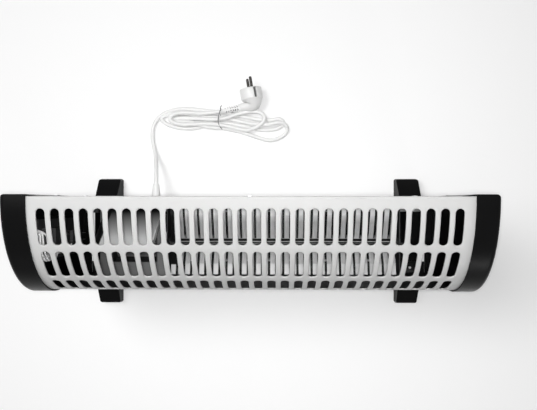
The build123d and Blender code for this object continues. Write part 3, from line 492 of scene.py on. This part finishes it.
# Each node's bevel width in millimetres and its steps
edgeSet = {"left_end_cap": (1.4, 4), "right_end_cap": (1.4, 4), "left_foot": (1.0, 3), "right_foot": (1.0, 3),
           "thermostat_knob": (0.5, 2), "low_heat_rocker": (0.4, 2), "high_heat_rocker": (0.4, 2),
           "fan_rocker": (0.4, 2), "low_heat_switch": (0.5, 2), "high_heat_switch": (0.5, 2),
           "fan_switch": (0.5, 2)}
# Where each cap's rim ends on the enamel, old and new, and its back lip, which thins out to the back panel
rimSet = {"left_end_cap": (-268, -270.6, -258), "right_end_cap": (268, 272.4, 258)}
roundSet = {"lipBack": 73.3, "near": 0.1, "merge": 0.01, "sliver": 0.001,
            "flat": 1, "smooth": 32, "sharp": 40}
nodeBody = {name: body for body, names in frame["record"]["behaviour"]["bodies"].items() for name in names}


def roundEdges(nodeName):
    s = roundSet
    width, steps = edgeSet[nodeName]
    bm = bmesh.new()
    bm.from_mesh(nodes[nodeName].data)
    bmesh.ops.remove_doubles(bm, verts=bm.verts, dist=s["merge"] * mm)
    if nodeName in rimSet:
        old, new, lip = rimSet[nodeName]
        for v in bm.verts:
            if abs(v.co.x - old * mm) < s["near"] * mm:
                v.co.x = new * mm
            elif abs(v.co.x - lip * mm) < s["near"] * mm and v.co.y > s["lipBack"] * mm:
                v.co.y = s["lipBack"] * mm
        bmesh.ops.remove_doubles(bm, verts=bm.verts, dist=s["merge"] * mm)
        bmesh.ops.dissolve_degenerate(bm, dist=s["sliver"] * mm, edges=bm.edges)
    bmesh.ops.dissolve_limit(bm, angle_limit=math.radians(s["flat"]), verts=bm.verts, edges=bm.edges)
    mesh = meshFrom(bm, nodeName + "Rounded", s["smooth"], turned=True)
    obj = newPiece(nodeName + "Rounded", mesh, nodeBody[nodeName])
    paint(obj, finishes[nodeName])
    bevel = obj.modifiers.new("edges", "BEVEL")
    bevel.width = width * mm
    bevel.segments = steps
    bevel.limit_method = "ANGLE"
    bevel.angle_limit = math.radians(s["sharp"])
    bevel.harden_normals = True
    weld = obj.modifiers.new("slivers", "WELD")
    weld.merge_threshold = s["sliver"] * mm
    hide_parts(nodeName)


for nodeName in edgeSet:
    roundEdges(nodeName)
print("edges rounded on", len(edgeSet), "nodes")


# Wires inside: four on the loom's line and one beside them, and the lead from the gland

# The fifth wire shows apart in the slots, but joins the terminal block and the dial beside the fourth
wireSet = {"dia": 2.8, "starts": (-280.5, -276.8, -273.1, -269.4, -263.4), "ends": (225, 195, 165, 285, 285),
           "blockTop": 80, "lastInBlock": -265.7, "cornerY": 65, "spread": 0.8, "lowestEnd": 165,
           "highestBend": 290, "dialZ": 285, "dialY": -1.2, "switchY": 5.6}
leadSet = {"dia": 7.0,
           "route": [(-173, 71.5, 48), (-173, 63, 48), (-179, 62, 48), (-195, 62, 48), (-225, 63, 49),
                     (-262, 62, 50), (-272, 62, 51), (-274, 62, 55), (-274, 62, 61)]}


def tubePiece(name, routes, dia, material, nodeName):
    obj = curveThrough(name, routes, 8, 3)
    obj.data.bevel_depth = dia / 2 * mm
    paint(obj, material)
    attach(obj, "heater")
    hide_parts(nodeName)
    return obj


def loomRoutes():
    # Up the back corner, along under the top and over to the switches, out of the upper slots' sight
    s = wireSet
    routes = []
    for count, (x, end) in enumerate(zip(s["starts"], s["ends"])):
        lean = (count - 1.5) * s["spread"]
        odd = count % 2
        startX = min(x, s["lastInBlock"])
        cornerY = s["cornerY"] - odd
        bendY = -5 + (end - s["lowestEnd"]) / 20
        endY = s["dialY"] if end == s["dialZ"] else s["switchY"]
        up = [(startX, 60, s["blockTop"]), (startX, 60, 92), (startX, cornerY, 110), (startX, cornerY, 330)]
        across = [(-280.5 + count * 0.6, 60, 346), (-281.5, 46 - count * 2, 348), (-281.5, 36 - count, 346),
                  (x - lean, 25 + odd, 335), (x, 15, 337), (x + lean, 3, 336), (x + 2 + lean, -10, 328)]
        down = [(x + 2, -12 + odd, 314), (x, -4, 300), (x, bendY, min(end + 30, s["highestBend"])),
                (x, bendY, end + 8), (startX + 1, -2, end - 1), (startX + 2, endY, end)]
        routes.append(up + across + down)
    return routes


tubePiece("loomWires", loomRoutes(), wireSet["dia"], whiteSheath, "wire_loom")
tubePiece("innerLead", [leadSet["route"]], leadSet["dia"], whiteSheath, "inner_lead")
print("inner wires laid")


# Plug on its side: round head with side grooves, turned down elbow, two pins and a slit relief

# The head's rings are depth and radius, the elbow's are centre, turn in degrees and radius, and the pin's
# tip is the way from its end and the share of its radius
plugSet = {"front": (-13.5, 266.5, 19.4), "along": (-0.169, 0.986, 0), "side": (0.986, 0.169, 0),
           "segments": 64, "grooveTurn": 66, "grooveSteps": 3, "grooveDepth": 5.0, "grooveEnds": (-19, -0.2),
           "grooveFrom": 17, "grooveSpare": 0.5,
           "head": ((-0.0, 17.4), (-0.5, 18.5), (-1.4, 19.1), (-2.6, 19.3), (-17.0, 19.3), (-18.6, 19.0),
                    (-19.8, 18.3)),
           "elbow": (((-10.0, 245.4, 19.2), 4, 17.2), ((-9.4, 241.2, 18.8), 14, 15.2),
                     ((-9.9, 237.6, 17.8), 30, 12.9), ((-12.2, 235.2, 16.4), 52, 10.6),
                     ((-17.6, 234.2, 14.9), 72, 8.9), ((-24.0, 234.2, 13.8), 84, 8.0),
                     ((-29.6, 233.5, 13.3), 90, 7.7), ((-31.0, 233.2, 13.3), 90, 7.1)),
           "edge": 0.4, "edgeSteps": 2, "edgeSharp": 45,
           "pinSpread": 19.0, "pinLean": 18.0, "pinDia": 4.8, "pinLength": 19.0, "pinSegments": 24,
           "pinRoot": -1.0, "pinTip": ((2.2, 1), (1.2, 0.93), (0.4, 0.72), (0, 0.4))}


def ring(bm, segments, radius, centre, outward, up=(0, 0, 1)):
    # A circle whose local x is outward and whose local y is up
    x = Vector(outward).normalized()
    y = Vector(up).normalized()
    turn = Matrix((x, y, x.cross(y))).transposed().to_4x4()
    made = bmesh.ops.create_circle(bm, segments=segments, radius=radius,
                                   matrix=Matrix.Translation(Vector(centre)) @ turn)["verts"]
    return made, [e for e in bm.edges if e.verts[0] in made and e.verts[1] in made]


def bridgeRings(bm, rings):
    for (_, first), (_, second) in zip(rings, rings[1:]):
        bmesh.ops.bridge_loops(bm, edges=first + second)


def fillEnds(bm, rings):
    for _, edges in (rings[0], rings[-1]):
        bmesh.ops.contextual_create(bm, geom=edges)


def scaleToMetres(bm):
    bmesh.ops.scale(bm, verts=bm.verts, vec=(mm, mm, mm))


def makePlugBody():
    s = plugSet
    along, side = Vector(s["along"]), Vector(s["side"])
    front = Vector(s["front"])
    bm = bmesh.new()
    rings = [ring(bm, s["segments"], radius, front + along * depth, side) for depth, radius in s["head"]]
    for centre, turn, radius in s["elbow"]:
        angle = math.radians(turn)
        outward = side * math.cos(angle) - along * math.sin(angle)
        rings.append(ring(bm, s["segments"], radius, centre, outward))
    bridgeRings(bm, rings)
    fillEnds(bm, rings)
    bmesh.ops.recalc_face_normals(bm, faces=bm.faces)
    half = math.radians(360 / s["segments"] * s["grooveSteps"] / 2 + s["grooveSpare"])
    deep, shallow = s["grooveEnds"]
    for turn in (s["grooveTurn"], s["grooveTurn"] - 180):
        way = side * math.cos(math.radians(turn)) + Vector((0, 0, math.sin(math.radians(turn))))
        strip = []
        for f in bm.faces:
            away = f.calc_center_median() - front
            depth = away.dot(along)
            flat = away - along * depth
            onWall = deep < depth < shallow and flat.length > s["grooveFrom"]
            facesOut = abs(f.normal.dot(along)) < 0.9
            if onWall and flat.angle(way) < half and facesOut:
                strip.append(f)
        out = bmesh.ops.extrude_face_region(bm, geom=strip)["geom"]
        bmesh.ops.translate(bm, verts=vertsOf(out), vec=-way * s["grooveDepth"])
        # The groove's floor and walls take the second material, dark grey: painted shade in the groove
        for g in out:
            if isinstance(g, bmesh.types.BMFace):
                g.material_index = 1
        bmesh.ops.delete(bm, geom=strip, context="FACES_ONLY")
    scaleToMetres(bm)
    obj = newPiece("plugBody", meshFrom(bm, "plugBody", 40))
    paint(obj, whitePlug)
    obj.data.materials.append(grooveShade)
    bevel = obj.modifiers.new("edges", "BEVEL")
    bevel.width = s["edge"] * mm
    bevel.segments = s["edgeSteps"]
    bevel.limit_method = "ANGLE"
    bevel.angle_limit = math.radians(s["edgeSharp"])
    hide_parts("plug_body")
    return obj


def makePins():
    s = plugSet
    along, side, up = Vector(s["along"]), Vector(s["side"]), Vector((0, 0, 1))
    lean = math.radians(s["pinLean"])
    across = side * math.sin(lean) + up * math.cos(lean)
    r = s["pinDia"] / 2
    stations = [(s["pinRoot"], r)] + [(s["pinLength"] - way, r * share) for way, share in s["pinTip"]]
    bm = bmesh.new()
    for end in (-1, 1):
        seat = Vector(s["front"]) + across * (end * s["pinSpread"] / 2)
        rings = [ring(bm, s["pinSegments"], radius, seat + along * depth, side) for depth, radius in stations]
        bridgeRings(bm, rings)
        fillEnds(bm, rings)
    scaleToMetres(bm)
    obj = newPiece("plugPins", meshFrom(bm, "plugPins", 40))
    paint(obj, pinMetalAndSlitShade)
    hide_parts("plug_pins")
    return obj


reliefSet = {"start": (-59.3, 228.4, 13.3), "length": 29.0, "tip": 4.7, "root": 7.0, "slits": 6, "pitch": 4.0,
             "first": 3.0, "width": 1.7, "step": 0.05, "keep": 0.42, "flank": 0.5, "core": 1.6,
             "endRun": 0.6, "endRound": 0.5, "segments": 32}


def makeRelief():
    s = reliefSet
    side = Vector(plugSet["side"])
    along = Vector(plugSet["along"])
    start = Vector(s["start"])
    places = [(0.0, False), (s["endRun"], False)]
    for k in range(s["slits"]):
        place = s["first"] + k * s["pitch"]
        places += [(place, False), (place + s["step"], True)]
        places += [(place + s["width"] - s["step"], True), (place + s["width"], False)]
    places.append((s["length"] + s["endRun"], False))
    bm = bmesh.new()
    rings = []
    for place, cut in places:
        radius = s["tip"] + (s["root"] - s["tip"]) * min(1, place / s["length"])
        if place == 0:
            radius -= s["endRound"]
        made = ring(bm, s["segments"], radius, start + side * place, along)
        if cut:
            for v in made[0]:
                away = v.co - start - side * place
                if abs(away.dot(along)) > radius * s["flank"]:
                    v.co -= along * away.dot(along) * (1 - s["keep"])
        rings.append(made)
    bridgeRings(bm, rings)
    fillEnds(bm, rings)
    # The slits' flanks take the second material, near black: painted shade in the slits
    for f in bm.faces:
        away = f.calc_center_median() - start
        past = away.dot(side) - s["first"]
        inSlit = 0 < past < s["slits"] * s["pitch"] and past % s["pitch"] < s["width"]
        if inSlit and abs(away.dot(along)) > s["core"]:
            f.material_index = 1
    scaleToMetres(bm)
    obj = newPiece("plugRelief", meshFrom(bm, "plugRelief", 35))
    paint(obj, whitePlug)
    obj.data.materials.append(pinMetalAndSlitShade)
    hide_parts("plug_relief")
    return obj


# The profile is y and radius
glandSet = {"place": (-173, 48), "segments": 32,
            "profile": ((72.4, 9.6), (72.6, 10.0), (74.3, 10.0), (74.6, 9.7), (74.8, 7.6), (80.0, 7.2),
                        (88.0, 6.2), (97.0, 5.0), (98.6, 4.7), (99.2, 4.2))}


def makeGland():
    # The flexible sleeve that guides the cord out of the back
    s = glandSet
    x, z = s["place"]
    bm = bmesh.new()
    rings = [ring(bm, s["segments"], radius, (x, y, z), (1, 0, 0)) for y, radius in s["profile"]]
    bridgeRings(bm, rings)
    fillEnds(bm, rings)
    scaleToMetres(bm)
    obj = newPiece("cordSleeve", meshFrom(bm, "cordSleeve", 30))
    paint(obj, whitePlug)
    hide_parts("cord_gland")


makeGland()

plugPieces = [makePlugBody(), makePins(), makeRelief()]

tieSet = {"dia": 1.3,
          "route": [(-63.6, 237.0, 17.5), (-66.6, 233.6, 18.4), (-64.6, 231.0, 19.2), (-67.0, 227.0, 19.0),
                    (-68.8, 219.0, 18.7), (-70.0, 211.0, 18.6), (-69.0, 204.0, 17.6), (-65.5, 198.4, 12.0),
                    (-62.6, 195.6, 6.0), (-63.5, 196.0, 1.6), (-66, 203, 0.9), (-67, 215, 0.9),
                    (-67, 226, 0.9), (-66.6, 232.6, 2.6), (-66.3, 233.6, 9.0), (-66.6, 232.4, 17.0),
                    (-64.2, 229.5, 20.2), (-66.6, 226.6, 20.4)]}
plugPieces.append(tubePiece("tieWire", [tieSet["route"]], tieSet["dia"], greyTie, "cord_tie"))
print("plug and tie made")


# Free cord and hank, one smooth line with part.py's route points

cordSet = {"dia": 7.2, "floor": 3.7, "low": 5.4, "top": 13.3, "waistX": -66, "waistY": 213, "step": 9.0}


def cordRoute():
    floor, low, top = cordSet["floor"], cordSet["low"], cordSet["top"]
    wx, wy, step = cordSet["waistX"], cordSet["waistY"], cordSet["step"]
    free = [(-173, 82, 48), (-173, 98, 48), (-174, 115, 40), (-176.5, 132, 25), (-180, 148, 11.5),
            (-184, 163, floor), (-187, 178, floor), (-187.5, 194, floor), (-184, 207, floor),
            (-175, 219.5, floor), (-160, 228.5, floor), (-140, 233, floor), (-118, 232.5, floor),
            (-95, 230, 4.4)]
    innerRight = [(wx, wy + 1.5 * step, low), (-35, 221, 4.8), (-12, 216, 4.2), (8, 213, floor),
                  (24, 212.5, floor), (36, 216, floor), (43, 212, floor), (43, 204, floor), (35, 198, floor),
                  (20, 195, floor), (0, 196, 4.2), (-30, 203, 5), (wx, wy - 0.5 * step, low)]
    outerLeft = [(-90, 205, 4.8), (-107, 200, floor), (-123, 198, floor), (-140, 199, floor),
                 (-157, 203.5, floor), (-168, 209.5, floor), (-172, 216, floor), (-165, 221.5, floor),
                 (-149, 224, floor), (-134, 224.5, floor), (-116, 222.5, 4.4), (-95, 219.5, 4.8)]
    outerRight = [(wx, wy + 0.5 * step, low), (-40, 213, 4.8), (-18, 207.5, floor), (0, 205, 6.5),
                  (16, 204, 10.5), (30, 207.5, 11.2), (42, 208, 11.2), (49.5, 202, 8), (51, 195, 4.6),
                  (46.5, 187.5, floor), (36, 180.5, floor), (22.7, 177, floor), (9, 179, floor),
                  (-6, 184, floor), (-20, 189, floor), (-42, 195.5, 4.6), (wx, wy - 1.5 * step, low)]
    innerLeft = [(-85, 199.5, 9), (-100, 203, 11.4), (-115, 208, 11.2), (-130, 209.5, 6.5),
                 (-143, 209.5, floor), (-150, 211, floor), (-151.5, 213.5, floor), (-147, 216.3, floor),
                 (-130, 216.5, 5.5), (-112, 215, 9.5)]
    topRight = [(wx, wy, top), (-46, 219, top), (-34, 223, top), (-20, 226, top), (-6, 227.5, top),
                (6, 224.5, top), (11.5, 217.5, top), (10, 209.5, top), (2, 202.5, top), (-9, 196.5, top),
                (-21, 193.8, top), (-35, 196.5, top), (wx, wy - 8.8, top)]
    topLeft = [(-90, 206, top), (-110, 205, top), (-128, 204, top), (-144, 205.5, top), (-153, 210, top),
               (-155.8, 215.5, top), (-152, 220.5, top), (-143, 224.5, top), (-125, 225.5, top),
               (-104, 223.4, top), (-80, 225, top), (-66.4, 227.2, top), (-59.3, 228.4, top)]
    return free + innerRight + outerLeft + outerRight + innerLeft + topRight + topLeft


def splineLength(obj):
    mesh = bpy.data.meshes.new_from_object(obj)
    places = [v.co for v in mesh.vertices]
    return sum((b - a).length for a, b in zip(places, places[1:]))


def makeCord():
    obj = curveThrough("mainsCord", [cordRoute()], 10, 5)
    length = splineLength(obj)
    obj.data.bevel_depth = cordSet["dia"] / 2 * mm
    paint(obj, whiteSheath)
    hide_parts("power_cord", "cord_hank")
    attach(obj, "heater")
    print("cord spline length", round(length, 4))


makeCord()


# Stage, lights and camera

# The shaded box under the heater is centre, half size and soft edge, and keeps lit floor out of the slots
stageSet = {"floorColour": (0.97, 0.97, 0.97), "shadeColour": (0.03, 0.03, 0.03), "floorLift": 0.15,
            "floorSize": 6.0, "shaded": ((0, 10, 0), (280, 55, None), 15), "ambient": 0.16}
# Each lamp's place, target and side, all in metres, and its power in watts
lampSet = {"keyLamp": ((-1.6, 1.25, 4.8), (0, 0.05, 0.2), 1.5, 62),
           "leftLamp": ((-0.95, 0.4, 1.8), (0, 0.05, 0.2), 0.8, 10),
           "viewLamp": ((0.034, 0.0605, 1.26), (0.034, 0.0605, 0), 0.035, 7.5),
           "frontLamp": ((1.1, -2.6, 0.55), (0.25, 0, 0.25), 0.45, 9)}
# The place is in millimetres, the focal length in pixels of the photograph and the tilts in radians
cameraSet = {"place": (33.94, 60.53, 1239.19), "focal": 699.86, "imageWidth": 537,
             "tilts": (0.0021, 0.012815, 0.00075), "sensor": 36, "reach": 50}


def seenDirectly(tree):
    # 1 for camera, glossy and transmission rays, 0 for the light that falls on things
    path = tree.nodes.new("ShaderNodeLightPath")
    seen = path.outputs["Is Camera Ray"]
    for kind in ("Is Glossy Ray", "Is Transmission Ray"):
        seen = addMost(tree, seen, path.outputs[kind])
    return seen


def floorTint(tree):
    mix = tree.nodes.new("ShaderNodeMix")
    mix.data_type = "RGBA"
    tree.links.new(addBoxMask(tree, *stageSet["shaded"]), mix.inputs["Factor"])
    mix.inputs["A"].default_value = (*stageSet["shadeColour"], 1)
    mix.inputs["B"].default_value = (*stageSet["floorColour"], 1)
    return mix.outputs["Result"]


def makeFloor():
    bm = bmesh.new()
    bmesh.ops.create_grid(bm, x_segments=1, y_segments=1, size=stageSet["floorSize"])
    mesh = bpy.data.meshes.new("floor")
    bm.to_mesh(mesh)
    bm.free()
    obj = bpy.data.objects.new("floor", mesh)
    scene.collection.objects.link(obj)
    material = bpy.data.materials.new("floorPaper")
    material.use_nodes = True
    tree = material.node_tree
    tree.nodes.clear()
    output = tree.nodes.new("ShaderNodeOutputMaterial")
    mix = tree.nodes.new("ShaderNodeMixShader")
    diffuse = tree.nodes.new("ShaderNodeBsdfDiffuse")
    tree.links.new(floorTint(tree), diffuse.inputs["Color"])
    glow = tree.nodes.new("ShaderNodeEmission")
    lift = tree.nodes.new("ShaderNodeMath")
    lift.operation = "MULTIPLY"
    lift.inputs[1].default_value = stageSet["floorLift"]
    clear = tree.nodes.new("ShaderNodeMath")
    clear.operation = "MULTIPLY"
    tree.links.new(seenDirectly(tree), clear.inputs[0])
    tree.links.new(addBoxMask(tree, *stageSet["shaded"]), clear.inputs[1])
    tree.links.new(clear.outputs[0], lift.inputs[0])
    tree.links.new(lift.outputs[0], mix.inputs["Fac"])
    tree.links.new(diffuse.outputs[0], mix.inputs[1])
    tree.links.new(glow.outputs[0], mix.inputs[2])
    tree.links.new(mix.outputs[0], output.inputs["Surface"])
    paint(obj, material)


def makeWorld():
    world = bpy.data.worlds.new("studio")
    scene.world = world
    world.use_nodes = True
    tree = world.node_tree
    back = tree.nodes["Background"]
    strength = tree.nodes.new("ShaderNodeMapRange")
    strength.inputs["To Min"].default_value = stageSet["ambient"]
    strength.inputs["To Max"].default_value = 1.0
    tree.links.new(seenDirectly(tree), strength.inputs["Value"])
    tree.links.new(strength.outputs["Result"], back.inputs["Strength"])
    back.inputs["Color"].default_value = (1, 1, 1, 1)


def areaLamp(name, place, target, size, power):
    lamp = bpy.data.lights.new(name, "AREA")
    lamp.shape = "SQUARE"
    lamp.size = size
    lamp.energy = power
    obj = bpy.data.objects.new(name, lamp)
    obj.location = place
    obj.rotation_euler = (Vector(target) - Vector(place)).to_track_quat("-Z", "Y").to_euler()
    scene.collection.objects.link(obj)


def makeCamera():
    camera = bpy.data.cameras.new("viewer")
    camera.sensor_width = cameraSet["sensor"]
    camera.lens = cameraSet["focal"] / cameraSet["imageWidth"] * camera.sensor_width
    camera.clip_end = cameraSet["reach"]
    obj = bpy.data.objects.new("viewer", camera)
    obj.location = [c * mm for c in cameraSet["place"]]
    obj.rotation_mode = "ZYX"
    obj.rotation_euler = cameraSet["tilts"]
    scene.collection.objects.link(obj)
    scene.camera = obj


makeFloor()
makeWorld()
for lampName, settings in lampSet.items():
    areaLamp(lampName, *settings)
makeCamera()
scene.view_settings.view_transform = "Standard"
print("stage set")
